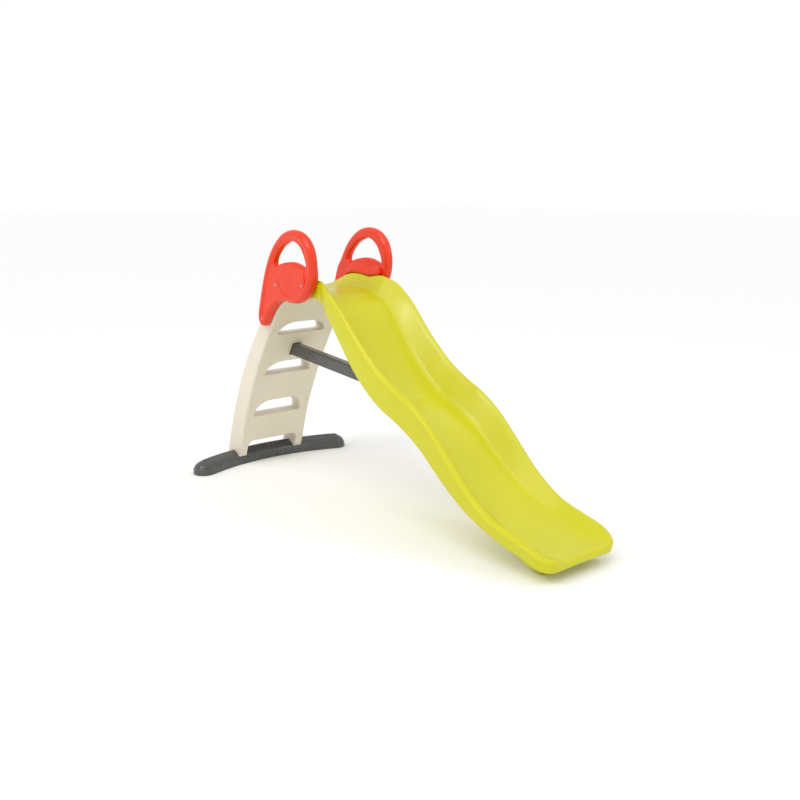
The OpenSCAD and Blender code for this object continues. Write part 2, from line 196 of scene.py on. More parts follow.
def slab(loops, rings, grid, extra=None):
    """Triangulates the region inside loops[0] and outside the others.
    Returns the points, triangles, the loops' point indices and the distance to each loop."""
    loops = [l if (area(l) > 0) == (i == 0) else l[::-1] for i, l in enumerate(loops)]
    pts = list(np.vstack(loops))
    edges, base, spans = [], 0, []
    for l in loops:
        n = len(l)
        edges += [(base + i, base + (i + 1) % n) for i in range(n)]
        spans.append((base, n))
        base += n

    def keep(cand, dmin):
        if not len(cand):
            return cand
        ok = inside(cand, loops[0])
        for l in loops[1:]:
            ok &= ~inside(cand, l)
        d = np.min([dist_to(cand, l) for l in loops], 0)
        return cand[ok & (d >= dmin)]

    for k, r in enumerate(rings):
        for l in loops:
            t = np.roll(l, -1, 0) - np.roll(l, 1, 0)
            t /= np.maximum(np.linalg.norm(t, axis=1, keepdims=True), 1e-9)
            nrm = np.column_stack([-t[:, 1], t[:, 0]])
            every = 1 if k < 5 else 2
            cand = (l + nrm * r)[k % 2::every] if every == 2 else l + nrm * r
            pts += list(keep(cand, r - 0.12))
    allp = np.vstack(loops)
    lo, hi = allp.min(0), allp.max(0)
    g = []
    row = 0
    y = lo[1]
    while y < hi[1]:
        xs = np.arange(lo[0] + (grid / 2 if row % 2 else 0), hi[0], grid)
        g.append(np.column_stack([xs, np.full(len(xs), y)]))
        y += grid * 0.866
        row += 1
    g = keep(np.vstack(g), rings[-1] + grid * 0.6)
    if extra is not None:
        e = keep(extra, 1.0)
        if len(e):
            far = np.ones(len(g), bool)
            for s in range(0, len(g), 2000):
                far[s:s + 2000] = (np.linalg.norm(g[s:s + 2000, None] - e[None], axis=2).min(1)
                                   > 1.6)
            g = g[far]
            pts += list(e)
    pts += list(g)
    P = np.array(pts)
    res = delaunay_2d_cdt([Vector(p) for p in P], edges, [], 0, 1e-5)
    V = np.array([tuple(v) for v in res[0]])
    T = np.array(res[2])
    # map back: output vertices that came from the loops, in order
    where = {}
    for out_i, src in enumerate(res[3]):
        for s in src:
            where[s] = out_i
    c = V[T].mean(1)
    ok = inside(c, loops[0])
    for l in loops[1:]:
        ok &= ~inside(c, l)
    T = T[ok]
    idx = [[where[s + i] for i in range(n)] for s, n in spans]
    D = [dist_to(V, l) for l in loops]
    return V, T, idx, D


def edge_round(d, r):
    q = np.clip(r - d, 0, r)
    return r - np.sqrt(np.maximum(r * r - q * q, 0))


def smoothstep(a, b, x):
    t = np.clip((x - a) / (b - a), 0, 1)
    return t * t * (3 - 2 * t)


def two_sided(V, T, idx, top, bottom):
    """Closes a top sheet and a bottom sheet of the same triangulation with a wall."""
    n = len(V)
    verts = np.vstack([top, bottom])
    faces = [tuple(t) for t in T] + [tuple(t[::-1] + n) for t in T]
    for loop in idx:
        m = len(loop)
        for i in range(m):
            a, b = loop[i], loop[(i + 1) % m]
            faces.append((b, a, a + n, b + n))
    used = np.zeros(2 * n, bool)
    for f in faces:
        for i in f:
            used[i] = True
    remap = np.cumsum(used) - 1
    return verts[used], [tuple(int(remap[i]) for i in f) for f in faces]


# ---------------------------------------------------------------- materials
def plastic(name, base, light, rough, coat=0.0, bump=0.10, grain=900.0, mottle=5.0,
            scuff=0.0, scuff_color=(0.9, 0.9, 0.85), sss=0.0, wear=0.0):
    """Moulded plastic: slow colour mottling, fine moulded grain, cloudy gloss, scuffs and edge wear."""
    m = bpy.data.materials.new(name)
    m.use_nodes = True
    nt = m.node_tree
    N, L = nt.nodes, nt.links
    N.clear()
    out = N.new("ShaderNodeOutputMaterial")
    bs = N.new("ShaderNodeBsdfPrincipled")
    L.new(bs.outputs[0], out.inputs[0])
    tc = N.new("ShaderNodeTexCoord")
    slow = N.new("ShaderNodeTexNoise")
    slow.inputs["Scale"].default_value = mottle
    slow.inputs["Detail"].default_value = 4
    L.new(tc.outputs["Object"], slow.inputs["Vector"])
    ramp = N.new("ShaderNodeValToRGB")
    ramp.color_ramp.elements[0].position = 0.30
    ramp.color_ramp.elements[1].position = 0.72
    ramp.color_ramp.elements[0].color = (*base, 1)
    ramp.color_ramp.elements[1].color = (*light, 1)
    L.new(slow.outputs["Fac"], ramp.inputs["Fac"])
    color = ramp.outputs["Color"]
    # fine speckle of the pigment
    fine = N.new("ShaderNodeTexNoise")
    fine.inputs["Scale"].default_value = 240
    fine.inputs["Detail"].default_value = 3
    L.new(tc.outputs["Object"], fine.inputs["Vector"])
    sp = N.new("ShaderNodeMapRange")
    sp.inputs["From Min"].default_value = 0.35
    sp.inputs["From Max"].default_value = 0.65
    sp.inputs["To Min"].default_value = 0.965
    sp.inputs["To Max"].default_value = 1.03
    L.new(fine.outputs["Fac"], sp.inputs["Value"])
    mul = N.new("ShaderNodeMix")
    mul.data_type = "RGBA"
    mul.blend_type = "MULTIPLY"
    mul.inputs["Factor"].default_value = 1.0
    L.new(color, mul.inputs[6])
    L.new(sp.outputs["Result"], mul.inputs[7])
    color = mul.outputs[2]
    # long thin scuffs along the sliding direction
    scr = None
    if scuff > 0:
        mp = N.new("ShaderNodeMapping")
        mp.inputs["Scale"].default_value = (3.0, 210.0, 9.0)
        L.new(tc.outputs["Object"], mp.inputs["Vector"])
        sc = N.new("ShaderNodeTexNoise")
        sc.inputs["Scale"].default_value = 1.0
        sc.inputs["Detail"].default_value = 2
        L.new(mp.outputs["Vector"], sc.inputs["Vector"])
        thin = N.new("ShaderNodeMapRange")
        thin.inputs["From Min"].default_value = 0.66
        thin.inputs["From Max"].default_value = 0.74
        L.new(sc.outputs["Fac"], thin.inputs["Value"])
        amt = N.new("ShaderNodeMath")
        amt.operation = "MULTIPLY"
        amt.inputs[1].default_value = scuff
        L.new(thin.outputs["Result"], amt.inputs[0])
        scr = amt.outputs[0]
        mx = N.new("ShaderNodeMix")
        mx.data_type = "RGBA"
        mx.inputs[7].default_value = (*scuff_color, 1)
        L.new(scr, mx.inputs["Factor"])
        L.new(color, mx.inputs[6])
        color = mx.outputs[2]
    if wear > 0:
        geo = N.new("ShaderNodeNewGeometry")
        pt = N.new("ShaderNodeMapRange")
        pt.inputs["From Min"].default_value = 0.56
        pt.inputs["From Max"].default_value = 0.70
        L.new(geo.outputs["Pointiness"], pt.inputs["Value"])
        pm = N.new("ShaderNodeMath")
        pm.operation = "MULTIPLY"
        L.new(pt.outputs["Result"], pm.inputs[0])
        L.new(slow.outputs["Fac"], pm.inputs[1])
        pw = N.new("ShaderNodeMath")
        pw.operation = "MULTIPLY"
        pw.inputs[1].default_value = wear
        L.new(pm.outputs[0], pw.inputs[0])
        mx = N.new("ShaderNodeMix")
        mx.data_type = "RGBA"
        mx.inputs[7].default_value = (*[min(1, c * 1.25 + 0.03) for c in light], 1)
        L.new(pw.outputs[0], mx.inputs["Factor"])
        L.new(color, mx.inputs[6])
        color = mx.outputs[2]
    L.new(color, bs.inputs["Base Color"])
    # gloss varies in soft clouds
    cl = N.new("ShaderNodeTexNoise")
    cl.inputs["Scale"].default_value = 14
    cl.inputs["Detail"].default_value = 5
    L.new(tc.outputs["Object"], cl.inputs["Vector"])
    rr = N.new("ShaderNodeMapRange")
    rr.inputs["From Min"].default_value = 0.3
    rr.inputs["From Max"].default_value = 0.7
    rr.inputs["To Min"].default_value = rough - 0.02
    rr.inputs["To Max"].default_value = rough + 0.03
    L.new(cl.outputs["Fac"], rr.inputs["Value"])
    rough_out = rr.outputs["Result"]
    if scr is not None:
        ad = N.new("ShaderNodeMath")
        ad.operation = "ADD"
        L.new(rough_out, ad.inputs[0])
        L.new(scr, ad.inputs[1])
        rough_out = ad.outputs[0]
    L.new(rough_out, bs.inputs["Roughness"])
    # moulded grain, and the slow waviness of a blown wall
    gr = N.new("ShaderNodeTexNoise")
    gr.inputs["Scale"].default_value = grain
    gr.inputs["Detail"].default_value = 2
    L.new(tc.outputs["Object"], gr.inputs["Vector"])
    wv = N.new("ShaderNodeTexNoise")
    wv.inputs["Scale"].default_value = 22
    wv.inputs["Detail"].default_value = 1
    L.new(tc.outputs["Object"], wv.inputs["Vector"])
    b1 = N.new("ShaderNodeBump")
    b1.inputs["Strength"].default_value = bump
    b1.inputs["Distance"].default_value = 0.0006
    L.new(gr.outputs["Fac"], b1.inputs["Height"])
    b2 = N.new("ShaderNodeBump")
    b2.inputs["Strength"].default_value = 0.05
    b2.inputs["Distance"].default_value = 0.0015
    L.new(wv.outputs["Fac"], b2.inputs["Height"])
    L.new(b2.outputs["Normal"], b1.inputs["Normal"])
    L.new(b1.outputs["Normal"], bs.inputs["Normal"])
    bs.inputs["IOR"].default_value = 1.5
    bs.inputs["Specular IOR Level"].default_value = 0.4
    if coat:
        bs.inputs["Coat Weight"].default_value = coat
        bs.inputs["Coat Roughness"].default_value = 0.20
    if sss:
        bs.inputs["Subsurface Weight"].default_value = sss
        bs.inputs["Subsurface Radius"].default_value = (1.0, 0.8, 0.5)
        bs.inputs["Subsurface Scale"].default_value = 0.006
    return m


def metal(name, base, dark, rough, scale=60.0):
    m = bpy.data.materials.new(name)
    m.use_nodes = True
    nt = m.node_tree
    N, L = nt.nodes, nt.links
    bs = N["Principled BSDF"]
    bs.inputs["Metallic"].default_value = 1.0
    tc = N.new("ShaderNodeTexCoord")
    n1 = N.new("ShaderNodeTexNoise")
    n1.inputs["Scale"].default_value = scale
    n1.inputs["Detail"].default_value = 4
    L.new(tc.outputs["Object"], n1.inputs["Vector"])
    rp = N.new("ShaderNodeValToRGB")
    rp.color_ramp.elements[0].position = 0.35
    rp.color_ramp.elements[1].position = 0.65
    rp.color_ramp.elements[0].color = (*dark, 1)
    rp.color_ramp.elements[1].color = (*base, 1)
    L.new(n1.outputs["Fac"], rp.inputs["Fac"])
    L.new(rp.outputs["Color"], bs.inputs["Base Color"])
    n2 = N.new("ShaderNodeTexNoise")
    n2.inputs["Scale"].default_value = scale * 12
    n2.inputs["Detail"].default_value = 3
    L.new(tc.outputs["Object"], n2.inputs["Vector"])
    mr = N.new("ShaderNodeMapRange")
    mr.inputs["To Min"].default_value = rough - 0.08
    mr.inputs["To Max"].default_value = rough + 0.10
    L.new(n2.outputs["Fac"], mr.inputs["Value"])
    L.new(mr.outputs["Result"], bs.inputs["Roughness"])
    bp = N.new("ShaderNodeBump")
    bp.inputs["Strength"].default_value = 0.15
    bp.inputs["Distance"].default_value = 0.0002
    L.new(n2.outputs["Fac"], bp.inputs["Height"])
    L.new(bp.outputs["Normal"], bs.inputs["Normal"])
    return m


LIME = plastic("lime_plastic", (0.575, 0.555, 0.002), (0.602, 0.580, 0.004), 0.33, coat=0.14,
               scuff=0.02, scuff_color=(0.66, 0.64, 0.06), sss=0.03)
IVORY = plastic("ivory_plastic", (0.715, 0.650, 0.525), (0.745, 0.685, 0.565), 0.42, coat=0.05,
                sss=0.25, wear=0.06)
RED = plastic("red_plastic", (0.745, 0.032, 0.001), (0.770, 0.037, 0.002), 0.29, coat=0.18)
DARK = plastic("dark_plastic", (0.066, 0.067, 0.066), (0.074, 0.075, 0.074), 0.26, coat=0.35,
               bump=0.08)
ZINC = metal("zinc_steel", (0.66, 0.67, 0.69), (0.50, 0.51, 0.53), 0.30)
BRASS = metal("insert_brass", (0.76, 0.58, 0.27), (0.60, 0.44, 0.19), 0.32)

# ------------------------------------------------------------------- chute
TOTAL_L, CREST_Y, SEAT_CREST_Y, RIM_OUT, LIP_R, SEAT_Z = 2266.0, 210.0, 186.0, 12.0, 92.0, 962.0
SMOOTH_FLARE = (850.0, 80.0)        # where the crest leaves the handles, and over what length
RIM = Curve([[462, SEAT_Z + 4], [526, 998], [578, 1018], [622, 1025], [680, 1024],
             [742, 1017], [790, 1024], [838, 1027], [880, 1016], [946, 980],
             [1019, 927], [1099, 846], [1163, 782], [1240, 716], [1301, 669],
             [1408, 611], [1508, 565], [1611, 493], [1710, 398], [1831, 282],
             [1958, 197], [2078, 160], [2151, 141], [2205, 120], [2240, 104],
             [2258, 90], [2266, 76]])
BED = Curve([[462, SEAT_Z], [640, SEAT_Z], [740, SEAT_Z], [817, 955],
             [870, 934], [926, 896], [1010, 802], [1094, 703], [1157, 640],
             [1230, 579], [1304, 533], [1370, 505], [1438, 474], [1505, 438],
             [1567, 396], [1692, 293], [1812, 210], [1928, 155], [2038, 118],
             [2128, 99], [2190, 89], [2232, 86], [2258, 84], [2266, 72]])
LOW = Curve([[462, 930], [640, 926], [740, 930], [810, 938], [860, 914],
             [926, 868], [1010, 772], [1094, 671], [1157, 609], [1230, 551],
             [1304, 506], [1370, 479], [1438, 448], [1505, 412], [1567, 371],
             [1692, 269], [1812, 187], [1928, 133], [2038, 97], [2128, 76],
             [2190, 58], [2232, 47], [2258, 50], [2266, 58]])
WALL = [[0, 0], [0.34, 0], [0.56, 0.01], [0.63, 0.022], [0.675, 0.05], [0.715, 0.12],
        [0.78, 0.33], [0.86, 0.60], [0.93, 0.84], [0.965, 0.945], [0.985, 0.985], [1, 1]]
NOSE = 26.0                         # length of the rounded nose of the exit lip


def crest_of(x):
    t = min(max((x - SMOOTH_FLARE[0]) / SMOOTH_FLARE[1], 0), 1)
    flare = t * t * (3 - 2 * t)
    d = min(max(x - (TOTAL_L - LIP_R), 0), LIP_R)
    lip = LIP_R - math.sqrt(LIP_R * LIP_R - d * d)
    wide = min(max((x - 930) / 500, 0), 1)      # the rolled rim grows wider down the run
    wide = wide * wide * (3 - 2 * wide)
    return SEAT_CREST_Y + (CREST_Y - SEAT_CREST_Y) * flare - 0.72 * lip - 9.0 * wide


def rim_out(x):
    wide = min(max((x - 930) / 500, 0), 1)
    return RIM_OUT + 9.0 * wide * wide * (3 - 2 * wide)


def chute_ring(x, n=6):
    c = crest_of(x)
    xs = min(x, TOTAL_L - NOSE)
    zr, zb, zl = float(RIM(xs)), float(BED(xs)), float(LOW(xs))
    zb = min(zb, zr - 1)
    h = zr - zl
    q = min(1, h / 110)
    half = [[c * w, zb + (zr - zb) * f + 3 * q * w * (1 - w)] for w, f in WALL]
    o = c + rim_out(x) + 1          # the widest line of the rolled rim
    half += [[c + 2.6, zr - 0.3 * q], [c + 6.5, zr - 2.0 * q], [o - 7.5, zr - 6.5 * q],
             [o - 3.0, zr - 12 * q], [o - 0.7, zr - 20 * q], [o, zr - 30 * q],
             [o - 0.9, zr - 34 * q], [o - 3.4, zr - 37 * q],
             [o - 5.5, zl + 0.42 * h], [o - 10, zl + min(12, 0.18 * h)],
             [o - 12.5, zl + min(5.5, 0.09 * h)],
             [o - 17, zl + min(2.2, 0.04 * h)], [o - 24, zl + 0.4], [o - 48, zl], [c * 0.4, zl + 2]]
    full = half + [[0, zl + 3]] + [[-p[0], p[1]] for p in half[:0:-1]]
    r = catmull(full, n)
    if x > xs:                      # the nose closes in a soft half round
        t = (x - xs) / NOSE
        k = max(1 - t**2.5, 0) ** (1 / 2.5)
        mid = zl + 0.36 * (zb - zl)
        r[:, 1] = mid + (r[:, 1] - mid) * (0.04 + 0.96 * k)
    return np.column_stack([np.full(len(r), x), r])


def inset(ring, d):
    """Moves a ring inwards in its own plane."""
    p = ring[:, 1:]
    t = np.roll(p, -1, 0) - np.roll(p, 1, 0)
    t /= np.maximum(np.linalg.norm(t, axis=1, keepdims=True), 1e-9)
    nrm = np.column_stack([-t[:, 1], t[:, 0]])
    if area(p) < 0:
        nrm = -nrm
    out = ring.copy()
    out[:, 1:] = p + nrm * d
    return out


def skin_rings(rings):
    n, m = len(rings[0]), len(rings)
    V = np.vstack(rings)
    F = []
    for j in range(m - 1):
        for i in range(n):
            a, b = j * n + i, j * n + (i + 1) % n
            F.append((a, b, b + n, a + n))
    # each end is closed by strips between the mirrored halves
    for base, flip in ((0, False), ((m - 1) * n, True)):
        h = n // 2
        cap = []
        for side in (0, 1):
            def at(i):
                return base + (i % n if side == 0 else (n - i) % n)
            for j in range(h // 2):
                q = [at(j), at(j + 1), at(h - 1 - j), at(h - j)]
                cap.append(q if side == 0 else q[::-1])
        for q in cap:
            q = list(dict.fromkeys(q))
            if len(q) > 2:
                F.append(tuple(q[::-1] if flip else q))
    return V, F


xs = list(np.arange(462, 858, 8.0)) + list(np.arange(858, 930, 3.0)) \
    + list(np.arange(930, 2174, 8.0)) + list(np.arange(2174, 2242, 4.0))
xs += [TOTAL_L - NOSE + NOSE * math.sin(a) for a in np.linspace(0, math.pi / 2, 14)]
rings = [chute_ring(x) for x in xs]
first = rings[0]
R0 = 10.0                           # soft edge at the top end
lead = []
for a in np.linspace(0, math.pi / 2, 7)[:-1]:
    r = inset(chute_ring(462.0), R0 * (1 - math.sin(a)))
    r[:, 0] = 462 + R0 * (1 - math.cos(a))
    lead.append(r)
rings = lead + [r for r in rings if r[0, 0] > 462 + R0 + 1]
V, F = skin_rings(rings)
chute = mesh_object("chute_shell", V, F, LIME, "lime_plastic", ["chute"])
fix_normals(chute)


def rounded_rect(cx, cy, hx, hy, r, n=8):
    pts = []
    for sx, sy, a0 in ((1, 1, 0), (-1, 1, 90), (-1, -1, 180), (1, -1, 270)):
        for k in range(n + 1):
            a = math.radians(a0 + 90 * k / n)
            pts.append([cx + sx * (hx - r) + r * math.cos(a), cy + sy * (hy - r) + r * math.sin(a)])
    return np.array(pts)


def loft(sections, name, mat):
    """Closed loft through equal-length 3-D loops with fan caps."""
    n = len(sections[0])
    V = [p for s in sections for p in s]
    F = []
    for j in range(len(sections) - 1):
        for i in range(n):
            a, b = j * n + i, j * n + (i + 1) % n
            F.append((a, b, b + n, a + n))
    for j, flip in ((0, True), (len(sections) - 1, False)):
        c = len(V)
        V.append(np.mean(sections[j], 0))
        for i in range(n):
            a, b = j * n + i, j * n + (i + 1) % n
            F.append((b, a, c) if flip else (a, b, c))
    ob = mesh_object(name, np.array(V), F, mat, None, None)
    fix_normals(ob)
    return ob


# heel under the exit: a soft block that narrows down to the ground
sec = []
for z, cx, hx, hy, r in ((0.0, 2132, 30, 118, 22), (1.2, 2132, 33, 122, 25), (4, 2132, 36, 126, 28),
                         (9, 2133, 39, 131, 30), (20, 2135, 45, 143, 31), (38, 2137, 52, 161, 31),
                         (56, 2138, 57, 177, 30), (70, 2138, 58, 185, 30), (80, 2132, 55, 188, 30)):
    rr = rounded_rect(cx, 0, hx, hy, r, 10)
    sec.append(np.column_stack([rr, np.full(len(rr), z)]))
heel = loft(sec, "heel_tmp", LIME)
chute = boolean(chute, heel, "UNION")

STRUT_W, STRUT_H = 48.0, 62.0


def strut_mid(x):
    return 640.0 - 0.098 * (x - 300.0)


def strut_bot(x):
    return strut_mid(x) - STRUT_H / 2


# bracket under the chute for the end of the strut
b0, b1 = 1128.0, 1206.0
prof = np.array([[b0, strut_bot(b0) - 12], [b1, strut_bot(b1) - 12], [b1 + 14, strut_bot(b1) + 6],
                 [b1 + 14, float(BED(b1 + 14)) - 14], [b0, float(BED(b0)) - 14]])
prof = smooth_loop(resample(prof, 3.0), 6)
hw = STRUT_W / 2 + 12
sec = []
for y, k in ((-hw, 5.0), (-hw + 0.9, 2.6), (-hw + 2.4, 1.0), (-hw + 5, 0.0),
             (hw - 5, 0.0), (hw - 2.4, 1.0), (hw - 0.9, 2.6), (hw, 5.0)):
    c = prof.mean(0)
    p = c + (prof - c) * (1 - k / 45.0)
    sec.append(np.column_stack([p[:, 0], np.full(len(p), y), p[:, 1]]))
bracket = loft(sec, "bracket_tmp", LIME)
chute = boolean(chute, bracket, "UNION")


def box_bar(a, b, g, r, name, mat, ends=0.0):
    """Rounded bar on the strut's line from x = a to x = b, grown by g."""
    sec = []
    ang = math.atan(0.098)
    steps = [(a, ends), (a + ends * 0.3, ends * 0.3), (a + ends, 0.0)] if ends else [(a, 0.0)]
    steps += [(a + (b - a) * t, 0.0) for t in np.linspace(0.05, 0.95, 19)]
    steps += [(b - ends, 0.0), (b - ends * 0.3, ends * 0.3), (b, ends)] if ends else [(b, 0.0)]
    for x, k in steps:
        rr = rounded_rect(0, 0, STRUT_W / 2 + g - k, STRUT_H / 2 + g - k, max(r - k, 1.0), 8)
        sec.append(np.column_stack([np.full(len(rr), x), rr[:, 0], strut_mid(x) + rr[:, 1]]))
    return loft(sec, name, mat)


chute = boolean(chute, box_bar(b0 - 30, 1196, 0.4, 7, "cut_a", None), "DIFFERENCE")


def drill(x, y0, y1, z, r, name="drill_tmp"):
    sec = []
    for y in (y0, y1):
        a = np.linspace(0, 2 * math.pi, 40, endpoint=False)
        sec.append(np.column_stack([x + r * np.cos(a), np.full(40, y), z + r * np.sin(a)]))
    return loft(sec, name, None)


chute = boolean(chute, drill(1160, -60, 60, strut_mid(1160), 4.15), "DIFFERENCE")
sharpen(chute, 38)
finish_piece(chute, "lime_plastic", "chute")

# ------------------------------------------------------------------- strut
strut = box_bar(301, 1195, 0.0, 8, "strut_bar", DARK, ends=2.5)
strut = boolean(strut, drill(1160, -60, 60, strut_mid(1160), 4.15), "DIFFERENCE")
sharpen(strut, 38)
finish_piece(strut, "dark_plastic", "strut")

# ------------------------------------------------------------------ ladder
FRONT = Curve([[40, 127], [109, 150], [187, 172], [286, 204], [407, 256],
               [504, 303], [628, 371], [728, 431], [777, 462], [850, 512], [925, 566]])
REAR = Curve([[40, 8], [141, 38], [222, 64], [289, 88], [354, 114],
              [427, 145], [492, 177], [557, 212], [622, 251], [694, 298],
              [764, 346], [850, 408], [925, 470]])
LW, TOP = 199.5, 923.0


def arc(cx, cy, r, a0, a1, n):
    a = np.radians(np.linspace(a0, a1, n))
    return [[cx + r * math.cos(t), cy + r * math.sin(t)] for t in a]


def opening(z, o, h):
    a, b = 95.0, 0.92 * h
    p = [[-o + 4, z], [o - 4, z]] + arc(o - 4, z + 4, 4, -90, 0, 5)
    for t in np.radians(np.linspace(0, 90, 40)):
        p.append([o - a + a * math.cos(t), z + h - b + b * math.sin(t)])
    for t in np.radians(np.linspace(90, 180, 40)):
        p.append([-o + a + a * math.cos(t), z + h - b + b * math.sin(t)])
    p += arc(-o + 4, z + 4, 4, 180, 270, 5)
    return smooth_loop(resample(np.array(p), 3.2), 2)


FOOT_Z = 42.0                       # the feet reach just into the bar
panel = [[-LW, FOOT_Z], [-152, FOOT_Z]] + arc(-118, 90, 34, 180, 90, 14) \
    + arc(118, 90, 34, 90, 0, 14) + [[152, FOOT_Z], [LW, FOOT_Z]] \
    + arc(LW - 6, TOP - 6, 6, 0, 90, 6) + arc(-LW + 6, TOP - 6, 6, 90, 180, 6)
outline = resample(np.array(panel, float), 3.6)
holes = [opening(266, 146, 82), opening(502, 138, 67), opening(726, 138, 59)]
RG = [0.6, 1.6, 3.0, 5.0, 7.5, 10.5, 14.0, 18.0]
V2, T2, idx, D = slab([outline] + holes, RG, 9.0)
yv, zv = V2[:, 0], V2[:, 1]
side_d = np.minimum(LW - np.abs(yv), 400)
r_out, r_open = 11.0, 8.0
f_out = np.maximum(edge_round(D[0], 8.0), edge_round(np.maximum(side_d, 0), r_out))
f_open = np.maximum.reduce([edge_round(d, r_open) for d in D[1:]])
f = np.maximum(f_out, f_open)
# a very slight dish in the panel between the stiles, and a crown across the stiles
dish = 2.0 * smoothstep(10, 34, side_d)
xf = FRONT(np.clip(zv, 40, 925)) - f - dish
xr = REAR(np.clip(zv, 40, 925)) + np.maximum(np.maximum(edge_round(D[0], 6.0), edge_round(np.maximum(side_d, 0), 7.0)), f_open)
top = np.column_stack([xf, yv, zv])
near_hole = np.minimum.reduce([np.abs(d) for d in D[1:]])
flare = 21.0 * np.exp(-(near_hole / 30.0)**2) * smoothstep(60, 125, np.abs(yv)) * smoothstep(200, 235, zv)
bot = np.column_stack([xr, yv + np.sign(yv) * flare, zv])
V, F = two_sided(V2, T2, idx, top, bot)
ladder = mesh_object("ladder_panel", V, F, IVORY, "ivory_plastic", ["ladder"])
fix_normals(ladder)
ladder = boolean(ladder, box_bar(301, 560, 3.2, 5, "cut_b", None), "DIFFERENCE")
sharpen(ladder, 42)
finish_piece(ladder, "ivory_plastic", "ladder")

# ----------------------------------------------------------------- handles
OUTER = [[403, 819], [411, 868], [426, 921], [450, 996], [480, 1071],
         [527, 1150], [580, 1204], [638, 1238], [707, 1250], [778, 1235],
         [830, 1193], [855, 1137], [861, 1080], [850, 1024], [822, 976],
         [788, 942], [742, 918], [688, 910], [628, 914], [575, 903],
         [514, 858], [475, 810], [449, 781], [420, 783]]
HOLE = [[685, 1196], [620, 1171], [570, 1129], [548, 1091], [563, 1076],
        [605, 1091], [671, 1102], [722, 1100], [768, 1087], [798, 1073],
        [805, 1094], [790, 1134], [762, 1172], [722, 1194]]
HY, HT = 200.0, 46.0
PADS = [(566.0, 990.0), (778.0, 999.0)]
LEG = (445.0, 816.0)


